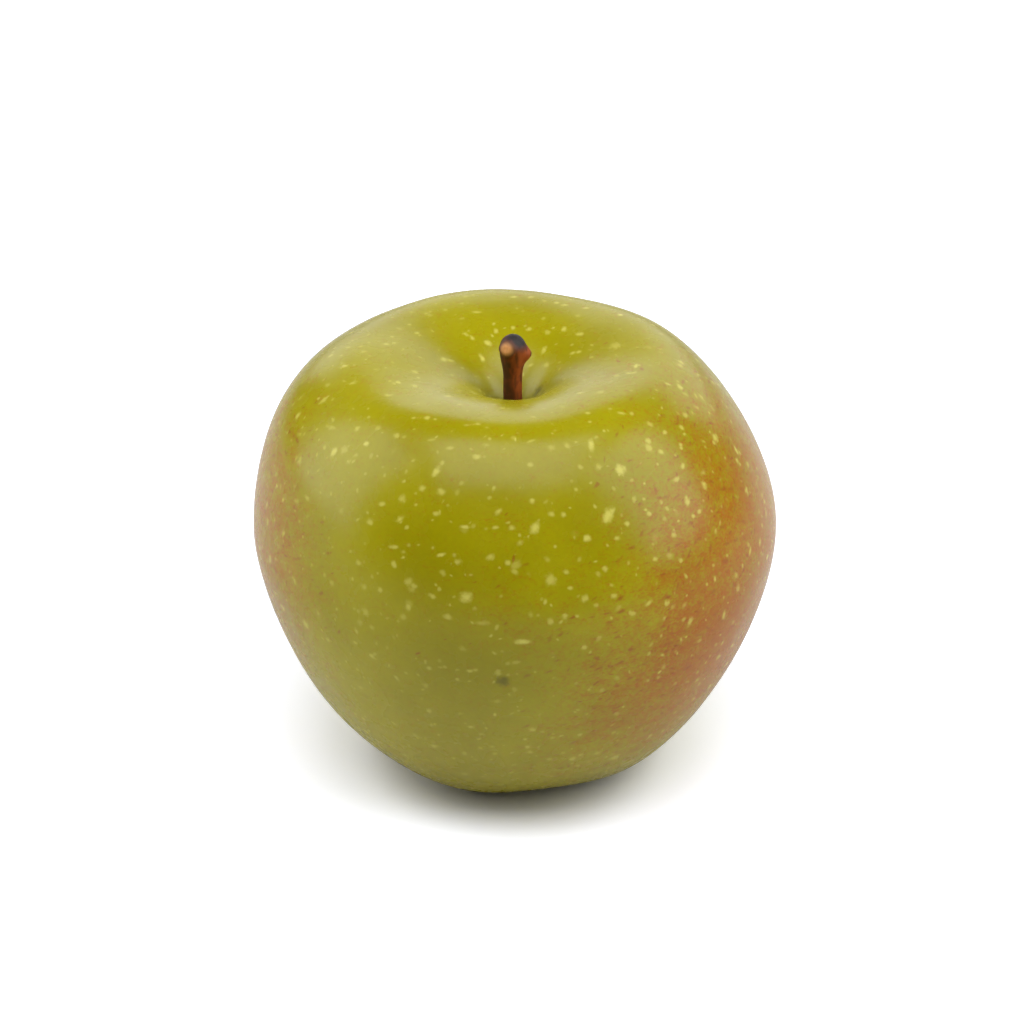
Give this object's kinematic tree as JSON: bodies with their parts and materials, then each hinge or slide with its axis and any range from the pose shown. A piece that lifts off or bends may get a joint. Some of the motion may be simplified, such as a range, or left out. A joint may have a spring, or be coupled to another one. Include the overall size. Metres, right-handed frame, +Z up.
{
  "type": "apple",
  "caption": "Whole apple as picked: round fruit with a deep stem cavity and tapering flanks, a short woody stem and a dried calyx in the eye underneath, resting on the crowns round the eye.",
  "frame": {"origin": "middle of the base, on the surface that the apple rests on", "axes": "+Z up along the stem, -Y towards the picture's viewer, +X to the picture's right"},
  "size_m": [0.0799, 0.08, 0.069],
  "materials": {
    "skin": "satin",
    "stem_bark": "matte",
    "dried_sepal": "matte"
  },
  "bodies": {
    "root": {"fruit": "skin", "stem": "stem_bark", "calyx": "dried_sepal"}
  },
  "joints": []
}
